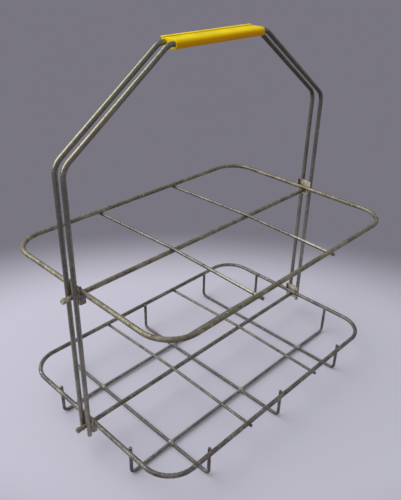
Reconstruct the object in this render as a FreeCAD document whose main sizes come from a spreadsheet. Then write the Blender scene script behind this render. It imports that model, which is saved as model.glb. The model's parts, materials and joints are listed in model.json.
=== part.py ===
import FreeCAD, Part
import math
import os
import Sketcher

# Folding wire caddy for six bottles, in millimetres.
# +X runs along the caddy, -Y is its front, +Z is up, and the origin lies on the floor at its middle.
# Two welded wire frames turn on their centre bars inside four pressed saddles,
# which are welded to the two bent rods of the carrying handle.

SIZES = {
    # Wire gauges
    "rim_wire": 4.2,
    "bar_wire": 4.2,
    "rod_wire": 4.2,
    "cross_wire": 2.9,
    "foot_wire": 3.1,
    # Frames, measured between wire axes
    "base_rim_length": 299.4,
    "base_rim_width": 205.0,
    "base_rim_height": 31.4,
    "upper_rim_inset": 1.0,
    "upper_rim_width": 205.4,
    "upper_rim_height": 169.9,
    "rim_corner_radius": 28.0,
    "cell_pitch": 100.0,
    "cross_tip_reach": 2.6,
    "cross_bow_radius": 60.0,
    "weld_sink": 0.05,
    # Feet under the base frame
    "foot_pitch": 98.7,
    "foot_row_spacing": 102.8,
    "foot_bend_radius": 5.0,
    "foot_bow_radius": 60.0,
    "foot_tip_rise": -0.6,
    "foot_set_down": 1.8,
    "foot_wear": 0.15,
    # Centre bars and their upset ends
    "bar_end_reach": 7.4,
    "bar_head_diameter": 5.0,
    "bar_head_length": 2.6,
    "bar_head_taper": 1.6,
    "bar_head_round": 0.8,
    # Handle rods
    "rod_spacing": 10.4,
    "rod_end_height": 19.5,
    "shoulder_height": 272.5,
    "shoulder_bend_radius": 15.0,
    "crown_height": 343.2,
    "crown_margin": 5.8,
    "crown_bend_radius": 13.0,
    # Grip sleeve
    "grip_length": 102.0,
    "grip_width": 17.2,
    "grip_above_rods": 3.9,
    "grip_below_rods": 4.2,
    "grip_top_round": 3.6,
    "grip_bottom_round": 3.4,
    "grip_bore_clearance": 0.1,
    "grip_lip_reach": 1.4,
    "grip_lip_rise": 0.6,
    "grip_lip_sheet": 1.3,
    "grip_lip_round": 0.4,
    "grip_seam_offset": 5.6,
    "grip_seam_width": 1.0,
    "grip_seam_depth": 0.6,
    # Saddles
    "saddle_sheet": 1.2,
    "saddle_width": 15.6,
    "saddle_above_bar": 11.5,
    "saddle_below_bar": 5.0,
    "saddle_past_rim_axis": 0.8,
    "saddle_bend_radius": 0.6,
    "rim_to_web_gap": 0.5,
    "saddle_weld_sink": 0.02,
    "pivot_clearance": 0.08,
    "rim_clearance": 0.3,
    "cut_overrun": 2.0,
}

OUTPUT_FOLDER = "parts"
FULL_TURN = 360


class Size:
    """A length that keeps its value together with the sheet formula that gives it."""

    def __init__(self, value, formula):
        self.value = value
        self.formula = formula

    def __add__(self, other):
        return Size(self.value + other.value, f"({self.formula} + {other.formula})")

    def __sub__(self, other):
        return Size(self.value - other.value, f"({self.formula} - {other.formula})")

    def __neg__(self):
        return Size(-self.value, f"(-1 * {self.formula})")

    def __mul__(self, factor):
        return Size(self.value * factor, f"({self.formula} * {factor})")

    def __truediv__(self, divisor):
        return Size(self.value / divisor, f"({self.formula} / {divisor})")


class Sizes:
    """Every sheet size as an attribute."""

    def __init__(self, table):
        for alias, value in table.items():
            setattr(self, alias, Size(value, f"Sizes.{alias}"))


ZERO = Size(0, "0")
size = Sizes(SIZES)
FOOT_PLACES = {"left": -size.foot_pitch, "middle": ZERO, "right": size.foot_pitch}

doc = FreeCAD.newDocument("bottle_caddy")


def fill_sheet():
    """Writes one named cell for each size."""
    sheet = doc.addObject("Spreadsheet::Sheet", "Sizes")
    for row, (alias, value) in enumerate(SIZES.items(), start=1):
        sheet.set(f"A{row}", alias)
        sheet.set(f"B{row}", str(value))
        sheet.setAlias(f"B{row}", alias)
    doc.recompute()


# Sketch and feature helpers


def new_body(label, x=ZERO, y=ZERO, z=ZERO, turned=False):
    """Makes the body of one sub-part at its place; a turned one is rotated half a turn about Z."""
    body = doc.addObject("PartDesign::Body", label)
    body.Label = label
    if turned:
        body.Placement.Rotation = FreeCAD.Rotation(FreeCAD.Vector(0, 0, 1), FULL_TURN / 2)
    for axis, place in zip("xyz", (x, y, z)):
        body.setExpression(f"Placement.Base.{axis}", place.formula)
    return body


def new_sketch(body, name, plane_role, offset=ZERO):
    """Makes a sketch on one of the body's own origin planes, moved along the plane's normal."""
    sketch = body.newObject("Sketcher::SketchObject", name)
    plane = next(part for part in body.Origin.OriginFeatures if part.Role == plane_role)
    sketch.AttachmentSupport = [(plane, "")]
    sketch.MapMode = "FlatFace"
    sketch.setExpression("AttachmentOffset.Base.z", offset.formula)
    return sketch


def tie(sketch, name, constraint, length):
    """Adds a dimension to a sketch and binds it to the sheet."""
    index = sketch.addConstraint(constraint)
    sketch.renameConstraint(index, name)
    sketch.setExpression(f"Constraints.{name}", length.formula)


def tie_point(sketch, name, geometry, position, x, y):
    """Fixes a sketch point at a bound place; zero places it on the sketch axis."""
    horizontal_axis, vertical_axis = -1, -2
    if x is ZERO:
        sketch.addConstraint(Sketcher.Constraint("PointOnObject", geometry, position, vertical_axis))
    else:
        tie(sketch, name + "x", Sketcher.Constraint("DistanceX", geometry, position, x.value), x)
    if y is ZERO:
        sketch.addConstraint(Sketcher.Constraint("PointOnObject", geometry, position, horizontal_axis))
    else:
        tie(sketch, name + "y", Sketcher.Constraint("DistanceY", geometry, position, y.value), y)


def draw_circle(sketch, name, x, y, radius):
    """Draws a bound circle."""
    centre_position = 3
    centre = FreeCAD.Vector(x.value, y.value, 0)
    circle = sketch.addGeometry(Part.Circle(centre, FreeCAD.Vector(0, 0, 1), radius.value), False)
    tie(sketch, name + "radius", Sketcher.Constraint("Radius", circle, radius.value), radius)
    tie_point(sketch, name, circle, centre_position, x, y)


def corner_arc(before, corner, after, radius):
    """Gives the arc that rounds a corner, as its centre, first and last point."""
    to_before = (before - corner).normalize()
    to_after = (after - corner).normalize()
    half_angle = to_before.getAngle(to_after) / 2
    tangent_length = radius / math.tan(half_angle)
    centre = corner + (to_before + to_after).normalize() * (radius / math.sin(half_angle))
    return centre, corner + to_before * tangent_length, corner + to_after * tangent_length


def draw_arc(sketch, centre, first, last, radius):
    """Draws an arc anticlockwise, whichever way it is passed, and tells whether that swaps its ends."""
    clockwise = (first - centre).cross(last - centre).z < 0
    begin, finish = (last, first) if clockwise else (first, last)
    from_angle = math.atan2(begin.y - centre.y, begin.x - centre.x)
    to_angle = math.atan2(finish.y - centre.y, finish.x - centre.x)
    circle = Part.Circle(centre, FreeCAD.Vector(0, 0, 1), radius)
    return sketch.addGeometry(Part.ArcOfCircle(circle, from_angle, to_angle), False), clockwise


def draw_outline(sketch, corners, closed):
    """Draws straight runs through corners of the form (x, y, rounding), rounding None being sharp."""
    start, end = 1, 2
    count = len(corners)
    points = [FreeCAD.Vector(x.value, y.value, 0) for x, y, _ in corners]
    enters = list(points)
    leaves = list(points)
    arcs = {}
    for i, (_, _, rounding) in enumerate(corners):
        if rounding is not None:
            after = points[(i + 1) % count]
            centre, enters[i], leaves[i] = corner_arc(points[i - 1], points[i], after, rounding.value)
            arcs[i] = draw_arc(sketch, centre, enters[i], leaves[i], rounding.value)
    run_count = count if closed else count - 1
    lines = []
    for i in range(run_count):
        lines.append(sketch.addGeometry(Part.LineSegment(leaves[i], enters[(i + 1) % count]), False))
    for i, (x, y, rounding) in enumerate(corners):
        mark = sketch.addGeometry(Part.Point(points[i]), True)
        tie_point(sketch, f"corner{i}", mark, start, x, y)
        line_in = lines[i - 1] if closed or i > 0 else None
        line_out = lines[i] if i < run_count else None
        if rounding is not None:
            arc, swapped = arcs[i]
            arc_first, arc_last = (end, start) if swapped else (start, end)
            sketch.addConstraint(Sketcher.Constraint("Tangent", line_in, end, arc, arc_first))
            sketch.addConstraint(Sketcher.Constraint("Tangent", arc, arc_last, line_out, start))
            sketch.addConstraint(Sketcher.Constraint("PointOnObject", mark, start, line_in))
            sketch.addConstraint(Sketcher.Constraint("PointOnObject", mark, start, line_out))
            tie(sketch, f"rounding{i}", Sketcher.Constraint("Radius", arc, rounding.value), rounding)
        else:
            if line_in is not None:
                sketch.addConstraint(Sketcher.Constraint("Coincident", line_in, end, mark, start))
            if line_out is not None:
                sketch.addConstraint(Sketcher.Constraint("Coincident", line_out, start, mark, start))


def pad(body, sketch, length):
    """Raises a sketch along its normal."""
    feature = body.newObject("PartDesign::Pad", "Pad")
    feature.Profile = sketch
    feature.setExpression("Length", length.formula)
    return feature


def pocket(body, sketch, length, along_normal):
    """Cuts a sketch into the body, along its normal or against it, and checks that something went."""
    doc.recompute()
    volume_before = body.Shape.Volume
    feature = body.newObject("PartDesign::Pocket", "Pocket")
    feature.Profile = sketch
    feature.setExpression("Length", length.formula)
    feature.Reversed = along_normal
    doc.recompute()
    if not body.Shape.Volume < volume_before:
        raise RuntimeError(f"{body.Label}: the cut {sketch.Label} removes nothing")


def bend_wire(body, wire, path_plane, corners, closed, profile_plane, profile_offset, profile_x, profile_y):
    """Sweeps a round wire along a path of straight runs and bends."""
    path = new_sketch(body, "Path", path_plane)
    draw_outline(path, corners, closed)
    profile = new_sketch(body, "Section", profile_plane, profile_offset)
    draw_circle(profile, "wire", profile_x, profile_y, wire / 2)
    doc.recompute()
    feature = body.newObject("PartDesign::AdditivePipe", "Pipe")
    feature.Profile = profile
    feature.Spine = path
    return body


# Frame pieces


def make_rim(label, length, width, height):
    """One closed loop of wire with four round corners."""
    body = new_body(label, z=height)
    half_length, half_width = length / 2, width / 2
    rounding = size.rim_corner_radius
    corners = [
        (half_length, half_width, rounding),
        (-half_length, half_width, rounding),
        (-half_length, -half_width, rounding),
        (half_length, -half_width, rounding),
    ]
    bend_wire(body, size.rim_wire, "XY_Plane", corners, True, "YZ_Plane", ZERO, half_width, ZERO)
    return body


def make_bar(label, height):
    """A straight centre bar, turned with an upset head at each end."""
    body = new_body(label, z=height)
    tip = leg + size.rod_wire / 2 + size.bar_end_reach
    head, radius = size.bar_head_diameter / 2, size.bar_wire / 2
    shoulder = tip - size.bar_head_length
    neck = shoulder - size.bar_head_taper
    rounding = size.bar_head_round
    right_half = [
        (tip, ZERO, None),
        (tip, head, rounding),
        (shoulder, head, rounding),
        (neck, radius, None),
    ]
    left_half = [(-x, y, turn) for x, y, turn in reversed(right_half)]
    outline = new_sketch(body, "Outline", "XZ_Plane")
    draw_outline(outline, right_half + left_half, closed=True)
    turned = body.newObject("PartDesign::Revolution", "Revolution")
    turned.Profile = outline
    turned.ReferenceAxis = (outline, ["H_Axis"])
    turned.Angle = FULL_TURN
    return body


def make_cross_wire(label, x, rim_width, rim_height):
    """A thin wire welded under both long sides of a rim and bowed up over the centre bar."""
    body = new_body(label, x=x, z=rim_height)
    end = rim_width / 2 + size.cross_tip_reach
    below_rim = -((size.rim_wire + size.cross_wire) / 2 - size.weld_sink)
    over_bar = (size.bar_wire + size.cross_wire) / 2 - size.weld_sink - bar_drop
    corners = [
        (-end, below_rim, None),
        (ZERO, over_bar, size.cross_bow_radius),
        (end, below_rim, None),
    ]
    bend_wire(body, size.cross_wire, "YZ_Plane", corners, False, "XZ_Plane", end, ZERO, below_rim)
    return body


def make_foot_wire(label, x, y, plane, rim_half, floor_height, crossings):
    """A wide U that stands on the floor and is welded inside two opposite sides of the base rim.

    The crossings, of the form (place, height), lift it over other foot wires.
    """
    body = new_body(label, x=x, y=y)
    upright = rim_half - (size.rim_wire + size.foot_wire) / 2 + size.weld_sink
    tip = size.base_rim_height + size.rim_wire / 2 + size.foot_tip_rise
    corners = [
        (-upright, tip, None),
        (-upright, floor_height, size.foot_bend_radius),
        *[(place, height, size.foot_bow_radius) for place, height in crossings],
        (upright, floor_height, size.foot_bend_radius),
        (upright, tip, None),
    ]
    section_x, section_y = (-upright, ZERO) if plane == "XZ_Plane" else (ZERO, -upright)
    bend_wire(body, size.foot_wire, plane, corners, False, "XY_Plane", tip, section_x, section_y)
    return body


def seat_on_cross_feet(body, height):
    """Presses the weld seats of the three cross feet into the underside of a long foot wire."""
    seats = new_sketch(body, "WeldSeats", "XZ_Plane", size.foot_wire)
    seat_radius = size.foot_wire / 2 - size.weld_sink
    for place, x in FOOT_PLACES.items():
        draw_circle(seats, place, x, height, seat_radius)
    pocket(body, seats, size.foot_wire * 2, along_normal=False)


def wear_flat(body, length):
    """Rubs the underside of a cross foot flat where it slides on shelves and crates."""
    floor = new_sketch(body, "Floor", "XY_Plane")
    half_width, half_length = size.foot_wire / 2, length / 2
    corners = [
        (half_width, -half_length, None),
        (half_width, half_length, None),
        (-half_width, half_length, None),
        (-half_width, -half_length, None),
    ]
    draw_outline(floor, corners, closed=True)
    pocket(body, floor, size.foot_wire, along_normal=False)


# Handle pieces


def make_rod(label, y):
    """One handle rod: two upright legs, two slanted shoulders and a level crown."""
    body = new_body(label, y=y)
    crown = size.grip_length / 2 + size.crown_margin
    right_half = [
        (crown, size.crown_height, size.crown_bend_radius),
        (leg, size.shoulder_height, size.shoulder_bend_radius),
        (leg, size.rod_end_height, None),
    ]
    left_half = [(-x, z, turn) for x, z, turn in reversed(right_half)]
    corners = left_half + right_half
    bend_wire(body, size.rod_wire, "XZ_Plane", corners, False, "XY_Plane", size.rod_end_height, -leg, ZERO)
    return body


def make_grip(label):
    """An extruded sleeve over the crowns of both rods, with a seam and a raised lip along its back."""
    body = new_body(label, z=size.crown_height)
    half_width = size.grip_width / 2
    lip_top, bottom = size.grip_above_rods, -size.grip_below_rods
    top = lip_top - size.grip_lip_rise
    seam_near = size.grip_seam_offset - size.grip_seam_width / 2
    seam_far = size.grip_seam_offset + size.grip_seam_width / 2
    seam_floor = top - size.grip_seam_depth
    lip_edge, lip_under = half_width + size.grip_lip_reach, lip_top - size.grip_lip_sheet
    corners = [
        (-half_width, bottom, size.grip_bottom_round),
        (half_width, bottom, size.grip_bottom_round),
        (half_width, lip_under, None),
        (lip_edge, lip_under, size.grip_lip_round),
        (lip_edge, lip_top, size.grip_lip_round),
        (seam_far, lip_top, None),
        (seam_far, seam_floor, None),
        (seam_near, seam_floor, None),
        (seam_near, top, None),
        (-half_width, top, size.grip_top_round),
    ]
    section = new_sketch(body, "Section", "YZ_Plane", -size.grip_length / 2)
    draw_outline(section, corners, closed=True)
    bore = size.rod_wire / 2 + size.grip_bore_clearance
    draw_circle(section, "frontbore", -size.rod_spacing / 2, ZERO, bore)
    draw_circle(section, "backbore", size.rod_spacing / 2, ZERO, bore)
    pad(body, section, size.grip_length)
    return body


def make_saddle(label, turned, bar_height, rim_length):
    """A pressed channel welded to the inner side of a leg; the bar turns in its web.

    The front flange carries the rim from below and the back flange hooks over it,
    so the frame turns out of the saddle one way only, with its front side rising.
    """
    body = new_body(label, x=-web_face if turned else web_face, z=bar_height, turned=turned)
    sheet, half_width = size.saddle_sheet, size.saddle_width / 2
    reach = web_face - rim_length / 2 + size.saddle_past_rim_axis
    inner_width = half_width - sheet
    inner_bend = size.saddle_bend_radius
    outer_bend = inner_bend + sheet
    channel = new_sketch(body, "Channel", "XY_Plane", -size.saddle_below_bar)
    corners = [
        (ZERO, -half_width, outer_bend),
        (ZERO, half_width, outer_bend),
        (-reach, half_width, None),
        (-reach, inner_width, None),
        (-sheet, inner_width, inner_bend),
        (-sheet, -inner_width, inner_bend),
        (-reach, -inner_width, None),
        (-reach, -half_width, None),
    ]
    draw_outline(channel, corners, closed=True)
    pad(body, channel, size.saddle_below_bar + size.saddle_above_bar)

    rim_outer_side = rim_length / 2 + size.rim_wire / 2 - web_face
    notch_depth = rim_outer_side + size.rim_clearance
    seat_round = size.rim_wire / 2 + size.rim_clearance
    beyond_tips = -reach - size.cut_overrun
    hook_edge = bar_drop + seat_round
    rest_edge = bar_drop - seat_round
    under = -size.saddle_below_bar - size.cut_overrun
    over = size.saddle_above_bar + size.cut_overrun
    hook_cut = [
        (beyond_tips, under, None),
        (notch_depth, under, None),
        (notch_depth, hook_edge, seat_round),
        (beyond_tips, hook_edge, None),
    ]
    rest_cut = [
        (beyond_tips, rest_edge, None),
        (notch_depth, rest_edge, seat_round),
        (notch_depth, over, None),
        (beyond_tips, over, None),
    ]
    flange_cut_depth = half_width + size.cut_overrun
    for cut, name, at_minus_y in ((hook_cut, "HookNotch", turned), (rest_cut, "RestNotch", not turned)):
        notch = new_sketch(body, name, "XZ_Plane")
        draw_outline(notch, cut, closed=True)
        pocket(body, notch, flange_cut_depth, along_normal=at_minus_y)

    hole = new_sketch(body, "PivotHole", "YZ_Plane")
    draw_circle(hole, "pivot", ZERO, ZERO, size.bar_wire / 2 + size.pivot_clearance)
    pocket(body, hole, sheet + size.cut_overrun, along_normal=False)
    return body


# Assembly

fill_sheet()

bar_drop = (size.rim_wire + size.bar_wire) / 2 - size.weld_sink
base_bar_height = size.base_rim_height - bar_drop
upper_bar_height = size.upper_rim_height - bar_drop
upper_rim_length = size.base_rim_length - size.upper_rim_inset * 2
web_face = (size.base_rim_length + size.rim_wire) / 2 + size.rim_to_web_gap + size.saddle_sheet
leg = web_face + size.rod_wire / 2 - size.saddle_weld_sink

parts = []

for frame_name, length, width, rim_height, bar_height in (
    ("base", size.base_rim_length, size.base_rim_width, size.base_rim_height, base_bar_height),
    ("upper", upper_rim_length, size.upper_rim_width, size.upper_rim_height, upper_bar_height),
):
    parts.append(make_rim(f"{frame_name}_rim", length, width, rim_height))
    parts.append(make_bar(f"{frame_name}_pivot_bar", bar_height))
    for side, x in (("left", -size.cell_pitch / 2), ("right", size.cell_pitch / 2)):
        parts.append(make_cross_wire(f"{frame_name}_{side}_divider", x, width, rim_height))

base_half_length, base_half_width = size.base_rim_length / 2, size.base_rim_width / 2
cross_foot_height = size.foot_wire / 2 - size.foot_wear
crossing_height = cross_foot_height + size.foot_wire - size.foot_set_down
outer_crossings = [(-size.foot_pitch, crossing_height), (size.foot_pitch, crossing_height)]
for place, x in FOOT_PLACES.items():
    label = f"{place}_cross_foot"
    cross_foot = make_foot_wire(label, x, ZERO, "YZ_Plane", base_half_width, cross_foot_height, [])
    wear_flat(cross_foot, size.base_rim_width)
    parts.append(cross_foot)
for place, y in (("front", -size.foot_row_spacing / 2), ("back", size.foot_row_spacing / 2)):
    label = f"{place}_long_foot"
    end_height = size.foot_wire / 2
    long_foot = make_foot_wire(label, ZERO, y, "XZ_Plane", base_half_length, end_height, outer_crossings)
    seat_on_cross_feet(long_foot, cross_foot_height)
    parts.append(long_foot)

for place, y in (("front", -size.rod_spacing / 2), ("back", size.rod_spacing / 2)):
    parts.append(make_rod(f"{place}_handle_rod", y))
parts.append(make_grip("grip"))
for side, turned in (("left", True), ("right", False)):
    parts.append(make_saddle(f"{side}_base_saddle", turned, base_bar_height, size.base_rim_length))
    parts.append(make_saddle(f"{side}_upper_saddle", turned, upper_bar_height, upper_rim_length))

doc.recompute()

# Checks and export

for item in doc.Objects:
    if "Invalid" in item.State or "Error" in item.State:
        raise RuntimeError(f"{item.Label}: {item.State}")
for part in parts:
    if part.Shape.isNull() or not part.Shape.isValid() or len(part.Shape.Solids) != 1:
        raise RuntimeError(f"{part.Label}: no sound solid")

os.makedirs(OUTPUT_FOLDER, exist_ok=True)
for part in parts:
    part.Shape.exportStep(f"{OUTPUT_FOLDER}/{part.Label}.step")
    print(f"{part.Label}: {part.Shape.Volume:.1f} mm3")
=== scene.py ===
import json
import math
import random

import bmesh
import bpy
from mathutils import Matrix, Vector, noise


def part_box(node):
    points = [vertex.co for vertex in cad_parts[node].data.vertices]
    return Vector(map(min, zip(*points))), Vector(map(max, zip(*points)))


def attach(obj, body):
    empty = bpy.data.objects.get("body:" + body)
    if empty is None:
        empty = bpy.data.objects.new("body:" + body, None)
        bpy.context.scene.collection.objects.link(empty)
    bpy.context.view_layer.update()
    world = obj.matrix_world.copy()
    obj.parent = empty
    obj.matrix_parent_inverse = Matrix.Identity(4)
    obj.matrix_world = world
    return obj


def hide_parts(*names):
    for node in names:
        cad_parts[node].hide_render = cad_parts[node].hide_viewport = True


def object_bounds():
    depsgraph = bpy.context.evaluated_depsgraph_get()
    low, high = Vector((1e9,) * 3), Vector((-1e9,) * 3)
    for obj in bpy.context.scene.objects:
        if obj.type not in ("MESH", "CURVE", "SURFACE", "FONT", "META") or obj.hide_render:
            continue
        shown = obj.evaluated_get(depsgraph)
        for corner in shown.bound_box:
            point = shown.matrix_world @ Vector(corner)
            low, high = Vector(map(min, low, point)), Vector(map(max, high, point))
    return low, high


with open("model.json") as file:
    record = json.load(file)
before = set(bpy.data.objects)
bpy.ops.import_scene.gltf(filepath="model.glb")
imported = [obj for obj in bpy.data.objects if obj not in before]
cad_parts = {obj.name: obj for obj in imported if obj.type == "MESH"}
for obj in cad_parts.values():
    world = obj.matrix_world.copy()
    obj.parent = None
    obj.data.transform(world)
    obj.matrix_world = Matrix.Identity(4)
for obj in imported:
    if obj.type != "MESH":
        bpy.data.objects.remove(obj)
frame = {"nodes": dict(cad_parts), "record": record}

# Folding wire bottle caddy in metres: dull tinned wire, pressed saddles and a yellow sleeve.

CAD_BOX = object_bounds()
MM = 0.001
VIEW_YAW, VIEW_PITCH, VIEW_ROLL = math.radians(-46.242), math.radians(-29.489), math.radians(1.386)
X_AXIS, Y_AXIS, Z_AXIS = Vector((1, 0, 0)), Vector((0, 1, 0)), Vector((0, 0, 1))


def centre_of(node):
    """The middle of a CAD node's box."""
    low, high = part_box(node)
    return (low + high) / 2


def thickness_of(node, axis):
    """The extent of a CAD node along one axis."""
    low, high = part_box(node)
    return high[axis] - low[axis]


# Material helpers

CREVICE_SAMPLES = 8
CREVICE_OPENNESS = 0.9, 0.25


class Shader:
    """A material with a principled surface, and short calls for the nodes that feed it."""

    def __init__(self, name):
        self.material = bpy.data.materials.new(name)
        self.material.use_nodes = True
        self.tree = self.material.node_tree
        self.surface = self.tree.nodes["Principled BSDF"]
        self.coordinates = self.tree.nodes.new("ShaderNodeTexCoord")

    def feed(self, socket, value):
        """Sets a socket to a constant or links it to another socket."""
        if isinstance(value, bpy.types.NodeSocket):
            self.tree.links.new(value, socket)
        elif isinstance(value, tuple) and len(value) == 3 and len(socket.default_value) == 4:
            socket.default_value = (*value, 1)
        else:
            socket.default_value = value

    def set_surface(self, **values):
        """Feeds the principled surface; underscores stand for the blanks of its socket names."""
        for name, value in values.items():
            self.feed(self.surface.inputs[name.replace("_", " ")], value)

    def stretched(self, stretch, turn=0.0):
        """Object coordinates, turned about Z and then scaled by axis."""
        mapping = self.tree.nodes.new("ShaderNodeMapping")
        mapping.vector_type = "TEXTURE"
        mapping.inputs["Rotation"].default_value[2] = turn
        mapping.inputs["Scale"].default_value = [1 / share for share in stretch]
        self.feed(mapping.inputs["Vector"], self.coordinates.outputs["Object"])
        return mapping.outputs["Vector"]

    def noise(self, grain, detail=4.0, roughness=0.6, stretch=(1, 1, 1)):
        """Noise whose lumps are about one grain wide, in metres."""
        node = self.tree.nodes.new("ShaderNodeTexNoise")
        node.inputs["Scale"].default_value = 1 / grain
        node.inputs["Detail"].default_value = detail
        node.inputs["Roughness"].default_value = roughness
        self.feed(node.inputs["Vector"], self.stretched(stretch))
        return node.outputs["Fac"]

    def ramp(self, value, low, high, to_low=0.0, to_high=1.0):
        """Maps a value smoothly from one range to another."""
        node = self.tree.nodes.new("ShaderNodeMapRange")
        node.interpolation_type = "SMOOTHSTEP"
        self.feed(node.inputs["Value"], value)
        for name, number in (("From Min", low), ("From Max", high), ("To Min", to_low), ("To Max", to_high)):
            node.inputs[name].default_value = number
        return node.outputs["Result"]

    def marks(self, grain, start, full, **texture):
        """Where marks of about one grain show, from 0 at one level of the noise to 1 at another."""
        return self.ramp(self.noise(grain, **texture), start, full)

    def math(self, operation, first, second=0.0):
        """One sum of one or two values, kept between 0 and 1."""
        node = self.tree.nodes.new("ShaderNodeMath")
        node.operation = operation
        node.use_clamp = True
        self.feed(node.inputs[0], first)
        self.feed(node.inputs[1], second)
        return node.outputs["Value"]

    def mix(self, share, first, second):
        """A colour between two colours."""
        node = self.tree.nodes.new("ShaderNodeMix")
        node.data_type = "RGBA"
        self.feed(node.inputs["Factor"], share)
        self.feed(node.inputs["A"], first)
        self.feed(node.inputs["B"], second)
        return node.outputs["Result"]

    def tint(self, colour, mask, share, tone):
        """A colour that passes into a tone by a share of a mask."""
        return self.mix(self.math("MULTIPLY", mask, share), colour, tone)

    def blend(self, share, first, second):
        """A number between two numbers."""
        node = self.tree.nodes.new("ShaderNodeMix")
        node.data_type = "FLOAT"
        self.feed(node.inputs["Factor"], share)
        self.feed(node.inputs["A"], first)
        self.feed(node.inputs["B"], second)
        return node.outputs["Result"]

    def facing(self, axis):
        """The share of the surface's own normal along an axis, from -1 to 1."""
        split = self.tree.nodes.new("ShaderNodeSeparateXYZ")
        self.feed(split.inputs["Vector"], self.coordinates.outputs["Normal"])
        return split.outputs[axis]

    def place(self, axis):
        """The surface point's own coordinate along an axis, in metres."""
        split = self.tree.nodes.new("ShaderNodeSeparateXYZ")
        self.feed(split.inputs["Vector"], self.coordinates.outputs["Object"])
        return split.outputs[axis]

    def crevice(self, reach):
        """How enclosed a place is within a reach in metres, from 0 to 1."""
        node = self.tree.nodes.new("ShaderNodeAmbientOcclusion")
        node.samples = CREVICE_SAMPLES
        node.inputs["Distance"].default_value = reach
        return self.ramp(node.outputs["AO"], *CREVICE_OPENNESS)

    def bump(self, height, depth, strength=1.0, below=None):
        """A bumped normal of a depth in metres, over an earlier one if given."""
        node = self.tree.nodes.new("ShaderNodeBump")
        node.inputs["Strength"].default_value = strength
        node.inputs["Distance"].default_value = depth
        self.feed(node.inputs["Height"], height)
        if below is not None:
            self.feed(node.inputs["Normal"], below)
        return node.outputs["Normal"]


# Steel: marks by grain in metres and level of noise, ranges of facing, tones and shares

CLOUDS = dict(grain=15 * MM, start=0.40, full=0.62, detail=5)
BLOTCHES = dict(grain=3.6 * MM, start=0.42, full=0.62, detail=6, roughness=0.7)
SPECKS = dict(grain=2.1 * MM, start=0.55, full=0.64, detail=4, roughness=0.7)
GLINTS = dict(grain=2.7 * MM, start=0.56, full=0.66, detail=5, roughness=0.7)
STUB_SPOTS = dict(grain=1.9 * MM, start=0.40, full=0.56, detail=5, roughness=0.7)
BLOTCH_SHARE, GLINT_SHARE, SPECK_SHARE, SHADE_SHARE, STUB_SHARE = 0.6, 0.65, 0.8, 0.85, 0.85
TOP_FACING = -0.15, 0.85
WEB_FACING = 0.7, 0.95
WEB_PALE_GRAIN, WEB_PALE_LEVELS = 5 * MM, (0.66, 0.44)
RUST_GRAIN, RUST_LEVELS = 11 * MM, (0.60, 0.70)
RUST_TONE_GRAIN = 1.6 * MM
DAMP_EVERYWHERE, DAMP_BELOW = 0.35, 0.5
STEEL_CREVICE = 3.5 * MM
WEAR_GRAIN, WEAR_LEVELS = 4 * MM, (0.38, 0.62)
FINE_GRAIN, FINE_DEPTH, FINE_STRENGTH = 0.6 * MM, 0.02 * MM, 0.6
PIT_DEPTH, PIT_STRENGTH = 0.06 * MM, 0.7
MATTE_RANGE, RUST_ROUGHNESS = (0.1, 0.6), 0.88
# Dark rust tone, also used as the painted shade of undersides.
RUST_AND_SHADE_DARK = (0.050, 0.026, 0.014)
RUST_LIGHT = (0.190, 0.092, 0.038)
# Pale tone of the painted glints, and of the painted highlight on the dividers' front ends.
HIGHLIGHT_PALE = (0.58, 0.545, 0.44)
# Pale tone of the saddle webs' faces along X: partly worn tin, partly painted light.
WEB_PALE_WORN_AND_LIT = (0.57, 0.525, 0.41)
STUB_LENGTH, STUB_EDGE = 6.5 * MM, 1 * MM
STUB_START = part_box("base_pivot_bar")[1].x - STUB_LENGTH
PALE_FRONT_STRETCH = -42 * MM, -80 * MM


def rust_on(shader, underside, enclosed, rust_share, seam_rust):
    """Where rust lies, from 0 to 1: in patches, most of all on undersides, and in crevices."""
    levels = (level - rust_share for level in RUST_LEVELS)
    patches = shader.ramp(shader.noise(RUST_GRAIN, detail=9, roughness=0.72), *levels)
    damp = shader.math("ADD", shader.math("MULTIPLY", underside, DAMP_BELOW), DAMP_EVERYWHERE)
    open_rust = shader.math("MULTIPLY", patches, damp)
    return shader.math("MAXIMUM", open_rust, shader.math("MULTIPLY", enclosed, seam_rust))


def worn_and_lit_web(shader, share):
    """Where the faces that look along X turn pale, up to a share: partly worn tin, partly painted light."""
    web = shader.ramp(shader.math("ABSOLUTE", shader.facing("X")), *WEB_FACING)
    wear = shader.ramp(shader.noise(WEB_PALE_GRAIN, detail=6), *WEB_PALE_LEVELS, 0, share)
    return shader.math("MULTIPLY", web, wear)


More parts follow.
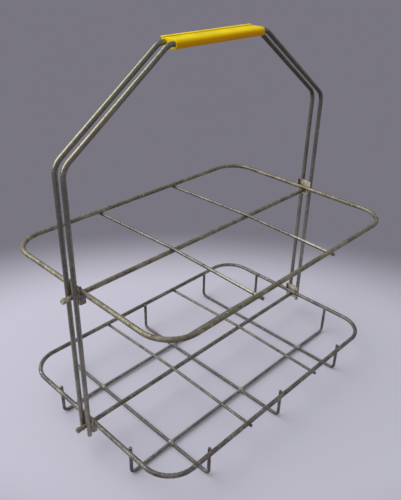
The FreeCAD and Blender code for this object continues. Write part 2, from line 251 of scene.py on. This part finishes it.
def aged_steel_with_painted_light(name, tones, top_share, rust_share, gloss=(0.30, 0.54), metal_share=0.50, spots=1.0,
               seam_rust=0.85, shade=(0.1, -0.7), end_tones=None, pale_web=0.0, pale_front=0.0):
    """Tarnished tinned steel: tops bright from wear and a painted highlight, undersides dark by painted
    shade, specks, pits, and rust where water stays.

    tones are the bright, dull and oxidised metal, top_share is how far its top turns bright, by wear and by
    a painted highlight, and rust_share widens the patches of rust;
    gloss is the roughness of worn and of dull metal, metal_share is how far it mirrors like bare metal,
    and spots how strongly it is spotted;
    seam_rust is the share of rust in crevices, and shade the steepness range in which a side turns dark by
    painted shade;
    end_tones are the two colours of a bar's stubs outside the handle's legs;
    pale_web is the share of pale tone on the faces that look along X, partly worn tin and partly painted
    light, and pale_front the share of a painted highlight on top of a wire's front end.
    """
    bright, dull, oxide = tones
    shader = Shader(name)
    blotches, specks = shader.marks(**BLOTCHES), shader.marks(**SPECKS)
    top = shader.ramp(shader.facing("Z"), *TOP_FACING)
    underside = shader.ramp(shader.facing("Z"), *shade)
    enclosed = shader.crevice(STEEL_CREVICE)

    metal = shader.tint(dull, shader.marks(**CLOUDS), spots, bright)
    metal = shader.tint(metal, blotches, BLOTCH_SHARE * spots, oxide)
    # Tops turn bright: partly worn tin, partly a painted highlight.
    metal = shader.tint(metal, top, top_share, bright)
    metal = shader.tint(metal, shader.marks(**GLINTS), GLINT_SHARE * spots, HIGHLIGHT_PALE)
    # Painted highlight: the top of a wire's front end turns pale.
    if pale_front:
        forward = shader.ramp(shader.place("Y"), *PALE_FRONT_STRETCH, 0, pale_front)
        metal = shader.tint(metal, forward, top, HIGHLIGHT_PALE)
    # Painted shade: faces that look down turn dark.
    metal = shader.tint(metal, underside, SHADE_SHARE, RUST_AND_SHADE_DARK)
    metal = shader.tint(metal, specks, SPECK_SHARE * spots, RUST_AND_SHADE_DARK)

    # Pale web faces along X: partly worn tin, partly painted light.
    worn = worn_and_lit_web(shader, pale_web) if pale_web else None
    if worn is not None:
        metal = shader.mix(worn, metal, WEB_PALE_WORN_AND_LIT)
        enclosed = shader.math("SUBTRACT", enclosed, worn)
    rust = rust_on(shader, underside, enclosed, rust_share, seam_rust)
    rust_tone = shader.mix(shader.noise(RUST_TONE_GRAIN, detail=6), RUST_AND_SHADE_DARK, RUST_LIGHT)
    colour = shader.mix(rust, metal, rust_tone)
    matte = rust
    if worn is not None:
        matte = shader.math("MAXIMUM", matte, worn)
    if end_tones is not None:
        along = shader.math("ABSOLUTE", shader.place("X"))
        stub = shader.ramp(along, STUB_START - STUB_EDGE, STUB_START + STUB_EDGE, 0, STUB_SHARE)
        colour = shader.mix(stub, colour, shader.mix(shader.marks(**STUB_SPOTS), *end_tones))
        matte = shader.math("MAXIMUM", matte, stub)

    wear = shader.ramp(shader.noise(WEAR_GRAIN, detail=6, roughness=0.7), *WEAR_LEVELS, *gloss)
    fine = shader.bump(shader.noise(FINE_GRAIN, detail=3), FINE_DEPTH, FINE_STRENGTH * min(spots, 1))
    pits = shader.math("SUBTRACT", blotches, specks)
    shader.set_surface(
        Base_Color=colour,
        Metallic=shader.ramp(matte, *MATTE_RANGE, metal_share, 0.0),
        Roughness=shader.blend(rust, wear, RUST_ROUGHNESS),
        Normal=shader.bump(pits, PIT_DEPTH, PIT_STRENGTH, below=fine),
    )
    return shader.material


# Sleeve plastic: marks by grain in metres and level of noise, ranges of facing and place, tones and shares

SEAM_NEAR, SEAM_FAR = 5.1 * MM, 6.1 * MM
SLEEVE_STREAKS = dict(grain=1.5 * MM, start=0.35, full=0.7, detail=4, stretch=(0.06, 1, 1))
SLEEVE_CLOUDS = dict(grain=14 * MM, start=0.35, full=0.68, detail=4)
SLEEVE_SCUFFS = dict(grain=1.1 * MM, start=0.60, full=0.74, detail=8, roughness=0.75, stretch=(0.25, 1, 1))
STREAK_SHARE, SCUFF_SHARE, FLANK_SHARE, UNDER_SHARE, CREASE_SHADE_SHARE = 0.3, 0.3, 0.95, 0.7, 0.32
FLANK_STEEPNESS, FLANK_FACING = (0.90, 0.0), (0.2, 0.6)
FLANK_EDGE, SEAM_WALL_SHARE = (SEAM_FAR + 0.1 * MM, SEAM_FAR + 1.1 * MM), 0.25
UNDER_FACING = 0.1, -0.7
SLEEVE_CREVICE = 1.2 * MM
LEMON_TONES = (0.81, 0.60, 0.0), (0.89, 0.69, 0.001)
STREAK_TONE = (0.77, 0.51, 0.0)
SCUFF_TONE = (0.89, 0.75, 0.01)
# Painted shade tones of the steep sides.
FLANK_TONES = (0.60, 0.205, 0.0), (0.535, 0.23, 0.0)
# Painted shade tone of the underside.
UNDER_TONE = (0.405, 0.235, 0.0)
# Painted shade tone of the creases.
CREASE_SHADE_TONE = (0.38, 0.205, 0.0)
SHEEN_TONE, SHEEN_LEVEL, SHEEN_ROUGHNESS = (1.0, 0.72, 0.02), 0.1, (0.34, 0.56)
LINE_DEPTH, LINE_STRENGTH = 0.05 * MM, 0.6
DENT_GRAIN, DENT_STRETCH, DENT_DEPTH, DENT_STRENGTH = 7 * MM, (0.5, 1, 1), 0.35 * MM, 0.5


def sleeve_flank(shader):
    """Where the sleeve's steep sides turn orange as painted shade; the walls of its top seam do so only a
    little.
    """
    steep = shader.ramp(shader.facing("Z"), *FLANK_STEEPNESS)
    sideways = shader.ramp(shader.math("ABSOLUTE", shader.facing("Y")), *FLANK_FACING)
    outer = shader.ramp(shader.math("ABSOLUTE", shader.place("Y")), *FLANK_EDGE)
    side = shader.math("MULTIPLY", steep, sideways)
    return shader.math("MULTIPLY", side, shader.math("MAXIMUM", outer, SEAM_WALL_SHARE))


def sleeve_plastic(name):
    """Extruded yellow plastic: lemon top, sides orange and underside darker by painted shade, streaks along
    it, painted shade in its seam, a soft sheen.
    """
    shader = Shader(name)
    streaks, clouds = shader.marks(**SLEEVE_STREAKS), shader.marks(**SLEEVE_CLOUDS)
    scuffs = shader.marks(**SLEEVE_SCUFFS)
    underside = shader.ramp(shader.facing("Z"), *UNDER_FACING)

    colour = shader.mix(clouds, *LEMON_TONES)
    colour = shader.tint(colour, streaks, STREAK_SHARE, STREAK_TONE)
    colour = shader.tint(colour, scuffs, SCUFF_SHARE, SCUFF_TONE)
    # Painted shade: the sleeve's steep sides turn orange.
    colour = shader.tint(colour, sleeve_flank(shader), FLANK_SHARE, shader.mix(streaks, *FLANK_TONES))
    # Painted shade: the underside turns darker orange.
    colour = shader.tint(colour, underside, UNDER_SHARE, UNDER_TONE)
    # Painted shade: creases such as the top seam turn darker.
    colour = shader.tint(colour, shader.crevice(SLEEVE_CREVICE), CREASE_SHADE_SHARE, CREASE_SHADE_TONE)
    lines = shader.bump(streaks, LINE_DEPTH, LINE_STRENGTH)
    dents = shader.noise(DENT_GRAIN, detail=3, stretch=DENT_STRETCH)
    shader.set_surface(
        Base_Color=colour,
        Roughness=shader.ramp(shader.math("ADD", scuffs, clouds), 0.0, 1.0, *SHEEN_ROUGHNESS),
        Specular_IOR_Level=SHEEN_LEVEL,
        Specular_Tint=SHEEN_TONE,
        Normal=shader.bump(dents, DENT_DEPTH, DENT_STRENGTH, below=lines),
    )
    return shader.material


# Background

FLOOR_TONE, FLOOR_ROUGHNESS, FLOOR_SHEEN = (0.515, 0.498, 0.575), 0.9, 0.1
BACKDROP_TONE = (0.190, 0.181, 0.219)
FLOOR_FADE = 0.16, 0.33
FLOOR_STRETCH = 0.62, 1, 1


def seen_by_view(tree):
    """1 for rays that show the background itself: straight, mirrored or through a clear surface."""
    path = tree.nodes.new("ShaderNodeLightPath")
    either = path.outputs["Is Camera Ray"]
    for other in ("Is Glossy Ray", "Is Transmission Ray"):
        node = tree.nodes.new("ShaderNodeMath")
        node.operation = "MAXIMUM"
        tree.links.new(either, node.inputs[0])
        tree.links.new(path.outputs[other], node.inputs[1])
        either = node.outputs["Value"]
    return either


def floor_paint(name):
    """A plain pale lavender floor that passes softly into an even backdrop tone away from the object."""
    shader = Shader(name)
    distance = shader.tree.nodes.new("ShaderNodeVectorMath")
    distance.operation = "LENGTH"
    shader.feed(distance.inputs[0], shader.stretched(FLOOR_STRETCH, VIEW_YAW))
    away = shader.ramp(distance.outputs["Value"], *FLOOR_FADE)
    shader.set_surface(Base_Color=FLOOR_TONE, Roughness=FLOOR_ROUGHNESS, Specular_IOR_Level=FLOOR_SHEEN)
    backdrop = shader.tree.nodes.new("ShaderNodeEmission")
    backdrop.inputs["Color"].default_value = (*BACKDROP_TONE, 1)
    join = shader.tree.nodes.new("ShaderNodeMixShader")
    shader.feed(join.inputs[0], shader.math("MULTIPLY", away, seen_by_view(shader.tree)))
    shader.feed(join.inputs[1], shader.surface.outputs["BSDF"])
    shader.feed(join.inputs[2], backdrop.outputs["Emission"])
    shader.feed(shader.tree.nodes["Material Output"].inputs["Surface"], join.outputs["Shader"])
    return shader.material


# Materials of the pieces, with the bright, dull and oxidised tone of each steel

BASE_TONES = (0.255, 0.238, 0.198), (0.076, 0.069, 0.063), (0.150, 0.130, 0.095)
# Long and cross feet are one wire: the long feet's lighter tones are painted light, the cross feet's darker
# tones painted shade.
LONG_FOOT_TONES = (0.215, 0.205, 0.196), (0.068, 0.063, 0.064), (0.125, 0.110, 0.100)
CROSS_FOOT_TONES = (0.155, 0.147, 0.139), (0.062, 0.057, 0.058), (0.105, 0.092, 0.083)
UPPER_TONES = (0.325, 0.301, 0.212), (0.080, 0.073, 0.050), (0.190, 0.160, 0.084)
DIVIDER_TONES = (0.265, 0.258, 0.222), (0.066, 0.063, 0.052), (0.140, 0.128, 0.092)
HANDLE_TONES = (0.39, 0.368, 0.258), (0.205, 0.195, 0.174), (0.194, 0.179, 0.130)
SADDLE_TONES = (0.33, 0.320, 0.276), (0.115, 0.110, 0.096), (0.180, 0.164, 0.122)
WELD_TONES = (0.20, 0.155, 0.090), (0.078, 0.055, 0.033), (0.155, 0.092, 0.042)
NUGGET_TONES = (0.45, 0.428, 0.320), (0.27, 0.252, 0.185), (0.33, 0.298, 0.19)
BASE_STUB_TONES = (0.066, 0.051, 0.042), (0.22, 0.167, 0.128)
UPPER_STUB_TONES = (0.10, 0.077, 0.050), (0.55, 0.490, 0.365)
# Each steel's settings: wear and rust, the share of its top brightened by wear and painted highlight, and
# the range of its painted shade.
BASE_WEAR_AND_PAINTED_LIGHT = dict(top_share=0.25, rust_share=0.03)
FOOT_WEAR_AND_PAINTED_LIGHT = dict(top_share=0.6, rust_share=0.02, metal_share=0.35, shade=(0.18, -0.35))
UPPER_WEAR_AND_PAINTED_LIGHT = dict(top_share=0.5, rust_share=0.03)
DIVIDER_WEAR_AND_PAINTED_LIGHT = dict(top_share=0.6, rust_share=0.03, spots=1.25, shade=(0.45, -0.2), pale_front=0.9)
HANDLE_WEAR_AND_PAINTED_LIGHT = dict(top_share=0.9, rust_share=0.0, gloss=(0.18, 0.32), metal_share=0.8, spots=0.4,
                   shade=(0.0, -0.45))
SADDLE_WEAR_AND_PAINTED_LIGHT = dict(top_share=0.3, rust_share=0.0, seam_rust=0.6, pale_web=0.97)
WELD_WEAR_AND_PAINTED_LIGHT = dict(top_share=0.3, rust_share=0.10)
NUGGET_WEAR_AND_PAINTED_LIGHT = dict(top_share=0.5, rust_share=0.0, seam_rust=0.1)
BASE_STEEL = aged_steel_with_painted_light("aged_base_wire_with_painted_light", BASE_TONES, **BASE_WEAR_AND_PAINTED_LIGHT)
LONG_FOOT_STEEL = aged_steel_with_painted_light("aged_long_foot", LONG_FOOT_TONES, **FOOT_WEAR_AND_PAINTED_LIGHT)
CROSS_FOOT_STEEL = aged_steel_with_painted_light("aged_cross_foot", CROSS_FOOT_TONES, **FOOT_WEAR_AND_PAINTED_LIGHT)
UPPER_STEEL = aged_steel_with_painted_light("aged_upper_wire_with_painted_light", UPPER_TONES, **UPPER_WEAR_AND_PAINTED_LIGHT)
DIVIDER_STEEL = aged_steel_with_painted_light("aged_upper_divider", DIVIDER_TONES, **DIVIDER_WEAR_AND_PAINTED_LIGHT)
BASE_BAR_STEEL = aged_steel_with_painted_light("aged_base_bar", BASE_TONES, **BASE_WEAR_AND_PAINTED_LIGHT, end_tones=BASE_STUB_TONES)
UPPER_BAR_STEEL = aged_steel_with_painted_light("aged_upper_bar", UPPER_TONES, **UPPER_WEAR_AND_PAINTED_LIGHT, end_tones=UPPER_STUB_TONES)
HANDLE_STEEL = aged_steel_with_painted_light("aged_handle_wire_with_painted_light", HANDLE_TONES, **HANDLE_WEAR_AND_PAINTED_LIGHT)
SADDLE_STEEL = aged_steel_with_painted_light("aged_saddle_sheet", SADDLE_TONES, **SADDLE_WEAR_AND_PAINTED_LIGHT)
WELD_STEEL = aged_steel_with_painted_light("weld_fillet_steel", WELD_TONES, **WELD_WEAR_AND_PAINTED_LIGHT)
NUGGET_STEEL = aged_steel_with_painted_light("weld_nugget_steel", NUGGET_TONES, **NUGGET_WEAR_AND_PAINTED_LIGHT)
SLEEVE_PLASTIC = sleeve_plastic("extruded_yellow_sleeve")
SLOT_MATERIALS = {
    "frame_wire": BASE_STEEL,
    "handle_wire": HANDLE_STEEL,
    "saddle_sheet": SADDLE_STEEL,
    "grip_plastic": SLEEVE_PLASTIC,
}
NODE_MATERIALS = {
    "base_pivot_bar": BASE_BAR_STEEL,
    "upper_pivot_bar": UPPER_BAR_STEEL,
    **{f"{place}_cross_foot": CROSS_FOOT_STEEL for place in ("left", "middle", "right")},
    **{f"{place}_long_foot": LONG_FOOT_STEEL for place in ("front", "back")},
    "upper_rim": UPPER_STEEL,
    **{f"upper_{place}_divider": DIVIDER_STEEL for place in ("left", "right")},
}

for subpart in frame["record"]["subparts"]:
    name = subpart["node"]
    for material_slot in frame["nodes"][name].material_slots:
        material_slot.material = NODE_MATERIALS.get(name, SLOT_MATERIALS[subpart["material_slot"]])


def add_piece(name, build, material, body):
    """Makes the built faces a named piece of the object that moves with a body."""
    mesh = bpy.data.meshes.new(name)
    build.to_mesh(mesh)
    build.free()
    piece = bpy.data.objects.new(name, mesh)
    bpy.context.scene.collection.objects.link(piece)
    mesh.materials.append(material)
    for polygon in mesh.polygons:
        polygon.use_smooth = True
    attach(piece, body)
    return piece


# Welds

RIM_RADIUS = thickness_of("base_rim", 2) / 2
BAR_RADIUS = RIM_RADIUS
DIVIDER_RADIUS = thickness_of("base_left_divider", 0) / 2
FOOT_RADIUS = thickness_of("middle_cross_foot", 0) / 2
ROD_RADIUS = thickness_of("front_handle_rod", 1) / 2
BAR_WELD_REACH = 1.9 * MM, 1.9 * MM
DIVIDER_WELD_REACH = 1.35 * MM, 1.45 * MM
LEG_WELD_REACH = 1.5 * MM, 1.6 * MM
SEAM_WELD_SHARE, SEAM_WELD_REACH = 0.82, 1.3 * MM
FILLET_STEPS, FILLET_LEVELS = 40, 8
FILLET_LUMPS, FILLET_LUMP_RATE = 0.16, 1.3
MENISCUS_SHARE = 0.2
EMBED = 0.12 * MM
NUGGET_CENTRE, NUGGET_REACH, NUGGET_HALF_HEIGHT = 2.6 * MM, 3.0 * MM, 2.0 * MM
NUGGET_LOBES, NUGGET_LUMPS, NUGGET_LUMP_RATE = 0.08, 0.22, 1.6
NUGGET_ROUNDS, NUGGET_ARMS = 4, 4
NOISE_SPREAD = 50


def noise_place(name):
    """The place in the noise that belongs to a piece's name."""
    random.seed(name)
    return Vector((random.random(), random.random(), random.random())) * NOISE_SPREAD


def surface_gap(radius, across):
    """Height of a round wire's surface over its axis, at a distance across it."""
    return math.sqrt(max(radius * radius - across * across, 0))


def weld_fillet(name, contact, lower, upper, normal, reach, body):
    """A ring of weld metal that fills the crevice between two touching wires.

    lower and upper are (direction, radius) of the two wires, or a radius of None for a flat sheet;
    contact is the point where they touch, normal points from the lower to the upper one,
    and reach is the fillet's half size along and across the lower wire.
    """
    lower_direction, lower_radius = lower
    upper_direction, upper_radius = upper
    crossed = upper_direction.dot(lower_direction) == 0
    side = normal.cross(lower_direction).normalized()
    shift = noise_place(name)
    build = bmesh.new()
    rings = []
    for step in range(FILLET_STEPS):
        angle = math.tau * step / FILLET_STEPS
        way = Vector((math.cos(angle), math.sin(angle), 0))
        lump = 1 + FILLET_LUMPS * noise.noise(shift + way * FILLET_LUMP_RATE)
        ring = []
        for level in range(FILLET_LEVELS + 1):
            rise = level / FILLET_LEVELS
            draw_in = 1 - MENISCUS_SHARE * math.sin(math.pi * rise)
            u = reach[0] * lump * draw_in * math.cos(angle)
            v = reach[1] * lump * draw_in * math.sin(angle)
            floor, ceiling = -EMBED, EMBED
            if lower_radius is not None:
                floor += surface_gap(lower_radius, v) - lower_radius
            if upper_radius is not None:
                ceiling += upper_radius - surface_gap(upper_radius, u if crossed else v)
            height = floor + (ceiling - floor) * rise
            ring.append(build.verts.new(contact + lower_direction * u + side * v + normal * height))
        rings.append(ring)
    for step in range(FILLET_STEPS):
        near, far = rings[step], rings[(step + 1) % FILLET_STEPS]
        for level in range(FILLET_LEVELS):
            build.faces.new((near[level], far[level], far[level + 1], near[level + 1]))
    build.faces.new([ring[0] for ring in reversed(rings)])
    build.faces.new([ring[-1] for ring in rings])
    add_piece(name, build, WELD_STEEL, body)


def weld_nugget(name, centre, body):
    """A lump of weld metal around the crossing of two wires along X and Y, drawn out a little along them."""
    shift = noise_place(name)
    build = bmesh.new()
    bmesh.ops.create_icosphere(build, subdivisions=NUGGET_ROUNDS, radius=1)
    for vertex in build.verts:
        way = vertex.co.copy()
        spread = NUGGET_REACH * (1 + NUGGET_LOBES * math.cos(NUGGET_ARMS * math.atan2(way.y, way.x)))
        lump = 1 + NUGGET_LUMPS * noise.noise(shift + way * NUGGET_LUMP_RATE)
        vertex.co = centre + Vector((way.x * spread, way.y * spread, way.z * NUGGET_HALF_HEIGHT)) * lump
    add_piece(name, build, NUGGET_STEEL, body)


def weld_frame(frame_name, body):
    """The welds of one frame: its bar under the rim's ends, and two dividers under the rim, over the bar."""
    rim_low, rim_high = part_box(f"{frame_name}_rim")
    rim_bottom = rim_low.z
    bar_top = centre_of(f"{frame_name}_pivot_bar").z + BAR_RADIUS
    end_x, side_y = rim_high.x - RIM_RADIUS, rim_high.y - RIM_RADIUS
    bar, divider_wire = (X_AXIS, BAR_RADIUS), (Y_AXIS, DIVIDER_RADIUS)
    rim_end, rim_side = (Y_AXIS, RIM_RADIUS), (X_AXIS, RIM_RADIUS)
    for side, sign in (("left", -1), ("right", 1)):
        contact = Vector((sign * end_x, 0, rim_bottom))
        weld_fillet(f"weld_{frame_name}_bar_{side}", contact, bar, rim_end, Z_AXIS, BAR_WELD_REACH, body)
        divider = f"{frame_name}_{side}_divider"
        x = centre_of(divider).x
        contact = Vector((x, 0, bar_top))
        weld_fillet(f"weld_{divider}_bar", contact, bar, divider_wire, Z_AXIS, DIVIDER_WELD_REACH, body)
        for place, y in (("front", -side_y), ("back", side_y)):
            name, contact = f"weld_{divider}_{place}", Vector((x, y, rim_bottom))
            weld_fillet(name, contact, divider_wire, rim_side, Z_AXIS, DIVIDER_WELD_REACH, body)


def weld_feet():
    """The welds of the five foot wires: legs inside the rim, and long feet on the cross feet."""
    rim_low, rim_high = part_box("base_rim")
    rim_z = (rim_low.z + rim_high.z) / 2
    inner_x, inner_y = rim_high.x - 2 * RIM_RADIUS, rim_high.y - 2 * RIM_RADIUS
    leg, rim_end, rim_side = (Z_AXIS, FOOT_RADIUS), (Y_AXIS, RIM_RADIUS), (X_AXIS, RIM_RADIUS)
    for place in ("left", "middle", "right"):
        x = centre_of(f"{place}_cross_foot").x
        for end, sign in (("front", -1), ("back", 1)):
            name, contact = f"weld_{place}_cross_foot_{end}", Vector((x, sign * inner_y, rim_z))
            weld_fillet(name, contact, leg, rim_side, Y_AXIS * sign, LEG_WELD_REACH, "base_frame")
    for place in ("front", "back"):
        y = centre_of(f"{place}_long_foot").y
        for end, sign in (("left", -1), ("right", 1)):
            name, contact = f"weld_{place}_long_foot_{end}", Vector((sign * inner_x, y, rim_z))
            weld_fillet(name, contact, leg, rim_end, X_AXIS * sign, LEG_WELD_REACH, "base_frame")
        for other in ("left", "middle", "right"):
            crossing = Vector((centre_of(f"{other}_cross_foot").x, y, CAD_BOX[0].z + NUGGET_CENTRE))
            weld_nugget(f"weld_{other}_{place}_crossing", crossing, "base_frame")


def weld_saddles():
    """The seams between the saddles' webs and the handle rods."""
    web, rod = (Z_AXIS, None), (Z_AXIS, ROD_RADIUS)
    for level in ("base", "upper"):
        for side, sign in (("left", -1), ("right", 1)):
            saddle = f"{side}_{level}_saddle"
            low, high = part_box(saddle)
            web_x = low.x if sign < 0 else high.x
            reach = ((high.z - low.z) / 2 * SEAM_WELD_SHARE, SEAM_WELD_REACH)
            for place in ("front", "back"):
                contact = Vector((web_x, centre_of(f"{place}_handle_rod").y, (low.z + high.z) / 2))
                weld_fillet(f"weld_{saddle}_{place}", contact, web, rod, X_AXIS * sign, reach, "handle")


weld_frame("base", "base_frame")
weld_frame("upper", "upper_frame")
weld_feet()
weld_saddles()


# Sleeve of the handle

LIP_DEPTH, LIP_RISE, LIP_ROUND, LIP_ROOT_ROUND = 1.3 * MM, 0.6 * MM, 0.4 * MM, 0.2 * MM
SEAM_DEPTH, SEAM_ROUND, SEAM_FLOOR_ROUND = 0.6 * MM, 0.25 * MM, 0.15 * MM
UNDER_ROUND, TOP_ROUND = 3.4 * MM, 3.6 * MM
END_BEVEL, END_TURNS, SLEEVE_RUNS = 0.45 * MM, 5, 34
BORE_CLEARANCE, BORE_STEPS = 0.1 * MM, 28
SLEEVE_WEAR, WEAR_RATE_ALONG, WEAR_RATE_AROUND = 0.10 * MM, 45, 120
SLEEVE_HALF = 8 * MM
CORNER_STEPS = 6
SHARP_ANGLE = math.radians(50)


def rounded_outline(corners, steps=CORNER_STEPS):
    """Points of a closed outline through corners of the form (y, z, radius)."""
    points = []
    count = len(corners)
    for index, (y, z, radius) in enumerate(corners):
        corner = Vector((y, z))
        before = (Vector(corners[index - 1][:2]) - corner).normalized()
        after = (Vector(corners[(index + 1) % count][:2]) - corner).normalized()
        half_angle = before.angle(after) / 2
        tangent = radius / math.tan(half_angle)
        middle = corner + (before + after).normalized() * (radius / math.sin(half_angle))
        start = corner + before * tangent - middle
        sweep = (math.pi - 2 * half_angle) * math.copysign(1, before.cross(after))
        for step in range(steps + 1):
            points.append(middle + Matrix.Rotation(-sweep * step / steps, 2) @ start)
    return points


def sleeve_stations(half_length):
    """Places along the sleeve with the inset of each, closer at the two rounded ends."""
    end = []
    for turn in range(END_TURNS + 1):
        angle = math.pi / 2 * turn / END_TURNS
        end.append((half_length - END_BEVEL * (1 - math.sin(angle)), END_BEVEL * (1 - math.cos(angle))))
    inner = half_length - END_BEVEL
    middle = [(-inner + 2 * inner * run / SLEEVE_RUNS, 0.0) for run in range(1, SLEEVE_RUNS)]
    return [(-x, inset) for x, inset in reversed(end)] + middle + end


def inset_outline(points, inset):
    """An outline drawn in by a small distance, square to its edges."""
    drawn = []
    count = len(points)
    for index, point in enumerate(points):
        run = points[(index + 1) % count] - points[index - 1]
        inward = Vector((-run.y, run.x)).normalized()
        drawn.append(point + inward * inset)
    return drawn


def sleeve_outline(low, high):
    """The sleeve's section: a block with round edges, a seam groove in its top and a lip along its back."""
    front, back, lip = low.y, -low.y, high.y
    lip_under, top = high.z - LIP_DEPTH, high.z - LIP_RISE
    seam_floor = top - SEAM_DEPTH
    return rounded_outline([
        (front, low.z, UNDER_ROUND),
        (back, low.z, UNDER_ROUND),
        (back, lip_under, LIP_ROOT_ROUND),
        (lip, lip_under, LIP_ROUND),
        (lip, high.z, LIP_ROUND),
        (SEAM_FAR, high.z, SEAM_ROUND),
        (SEAM_FAR, seam_floor, SEAM_FLOOR_ROUND),
        (SEAM_NEAR, seam_floor, SEAM_FLOOR_ROUND),
        (SEAM_NEAR, top, SEAM_ROUND),
        (front, top, TOP_ROUND),
    ])


def ring_edges(build, ring):
    """The edges of a closed ring of vertices."""
    return [build.edges.get(pair) for pair in zip(ring, ring[1:] + ring[:1])]


def join_rings(build, near, far):
    """Closes the strip between two rings with faces."""
    count = len(near)
    for i in range(count):
        j = (i + 1) % count
        build.faces.new((near[i], near[j], far[j], far[i]))


def build_skin(build, outline, half_length, crown_z):
    """The sleeve's worn outside, and the edges around its two ends."""
    rings = []
    for x, inset in sleeve_stations(half_length):
        ring = []
        for y, z in inset_outline(outline, inset):
            spot = Vector((x * WEAR_RATE_ALONG, y * WEAR_RATE_AROUND, z * WEAR_RATE_AROUND))
            worn = SLEEVE_WEAR * (noise.noise(spot) - 1)
            shrink = 1 + worn / SLEEVE_HALF
            ring.append(build.verts.new((x, y * shrink, crown_z + (z - crown_z) * shrink)))
        rings.append(ring)
    for near, far in zip(rings, rings[1:]):
        join_rings(build, near, far)
    return [ring_edges(build, ring) for ring in (rings[0], rings[-1])]


def build_bore(build, half_length, y, z, radius):
    """The wall of a bore right through the sleeve, and the edges around its two mouths."""
    angles = [math.tau * step / BORE_STEPS for step in range(BORE_STEPS)]
    mouths = []
    for x in (-half_length, half_length):
        points = [(x, y + radius * math.cos(angle), z + radius * math.sin(angle)) for angle in angles]
        mouths.append([build.verts.new(point) for point in points])
    join_rings(build, *mouths)
    return [ring_edges(build, mouth) for mouth in mouths]


def make_sleeve():
    """The yellow sleeve over both rods, with its top seam, its back lip, softened ends and two bores."""
    low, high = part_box("grip")
    rod_low, rod_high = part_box("front_handle_rod")
    rod_y = -(rod_low.y + rod_high.y) / 2
    crown_z = rod_high.z - ROD_RADIUS
    build = bmesh.new()
    ends = build_skin(build, sleeve_outline(low, high), high.x, crown_z)
    for y in (-rod_y, rod_y):
        mouths = build_bore(build, high.x, y, crown_z, ROD_RADIUS + BORE_CLEARANCE)
        for end, mouth in zip(ends, mouths):
            end.extend(mouth)
    for end in ends:
        bmesh.ops.triangle_fill(build, use_beauty=True, edges=end)
    bmesh.ops.recalc_face_normals(build, faces=build.faces)
    sleeve = add_piece("grip_sleeve", build, SLEEVE_PLASTIC, "handle")
    sleeve.data.set_sharp_from_angle(angle=SHARP_ANGLE)
    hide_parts("grip")


make_sleeve()


# Stage, light and camera, in metres and watts

FLOOR_HALF = 20.0
WINDOW_WAY = Vector((-0.44, 0.58, 0.66))
WINDOW_DISTANCE, WINDOW_SIZE, WINDOW_POWER = 2.0, 2.4, 38.5
SURROUND_TONE, SURROUND_STRENGTH = (0.95, 0.97, 1.0), 0.665
CAMERA_PLACE, CAMERA_CLIP = Vector((-0.3513, -0.3245, 0.4177)), 0.01
FOCAL_PIXELS, PHOTO_HEIGHT_PIXELS = 569.77, 500


def add_stage():
    """A plain floor under the object."""
    mesh = bpy.data.meshes.new("floor")
    corners = [(-FLOOR_HALF, -FLOOR_HALF, 0), (FLOOR_HALF, -FLOOR_HALF, 0),
               (FLOOR_HALF, FLOOR_HALF, 0), (-FLOOR_HALF, FLOOR_HALF, 0)]
    mesh.from_pydata(corners, [], [(0, 1, 2, 3)])
    floor = bpy.data.objects.new("floor", mesh)
    floor.location.z = CAD_BOX[0].z
    bpy.context.scene.collection.objects.link(floor)
    mesh.materials.append(floor_paint("plain_pale_floor"))


def add_window():
    """A large soft square lamp from the left and behind, high up, that points at the object's middle."""
    lamp = bpy.data.lights.new("window_lamp", "AREA")
    lamp.shape = "SQUARE"
    lamp.size = WINDOW_SIZE
    lamp.energy = WINDOW_POWER
    middle = (CAD_BOX[0] + CAD_BOX[1]) / 2
    place = middle + WINDOW_WAY.normalized() * WINDOW_DISTANCE
    holder = bpy.data.objects.new("window_lamp", lamp)
    holder.location = place
    holder.rotation_euler = (middle - place).to_track_quat("-Z", "Y").to_euler()
    bpy.context.scene.collection.objects.link(holder)


def add_surround():
    """An even light from all sides, which the view shows as the backdrop's tone."""
    world = bpy.data.worlds.new("even_surround")
    bpy.context.scene.world = world
    world.use_nodes = True
    tree = world.node_tree
    surround = tree.nodes["Background"]
    surround.inputs["Color"].default_value = (*SURROUND_TONE, 1)
    surround.inputs["Strength"].default_value = SURROUND_STRENGTH
    backdrop = tree.nodes.new("ShaderNodeBackground")
    backdrop.inputs["Color"].default_value = (*BACKDROP_TONE, 1)
    join = tree.nodes.new("ShaderNodeMixShader")
    tree.links.new(seen_by_view(tree), join.inputs[0])
    tree.links.new(surround.outputs["Background"], join.inputs[1])
    tree.links.new(backdrop.outputs["Background"], join.inputs[2])
    tree.links.new(join.outputs["Shader"], tree.nodes["World Output"].inputs["Surface"])


def add_camera():
    """The photograph's view: above the left front corner, with a slight roll."""
    level = math.cos(VIEW_PITCH)
    forward = Vector((-math.sin(VIEW_YAW) * level, math.cos(VIEW_YAW) * level, math.sin(VIEW_PITCH)))
    level_right = Vector((math.cos(VIEW_YAW), math.sin(VIEW_YAW), 0))
    level_up = level_right.cross(forward)
    right = level_right * math.cos(VIEW_ROLL) + level_up * math.sin(VIEW_ROLL)
    up = level_up * math.cos(VIEW_ROLL) - level_right * math.sin(VIEW_ROLL)
    lens = bpy.data.cameras.new("camera")
    lens.lens = FOCAL_PIXELS / PHOTO_HEIGHT_PIXELS * lens.sensor_width
    lens.clip_start = CAMERA_CLIP
    holder = bpy.data.objects.new("camera", lens)
    bpy.context.scene.collection.objects.link(holder)
    turned = Matrix((right, up, -forward)).transposed().to_4x4()
    holder.matrix_world = Matrix.Translation(CAMERA_PLACE) @ turned
    bpy.context.scene.camera = holder


add_stage()
add_window()
add_surround()
add_camera()
bpy.context.scene.view_settings.view_transform = "Standard"
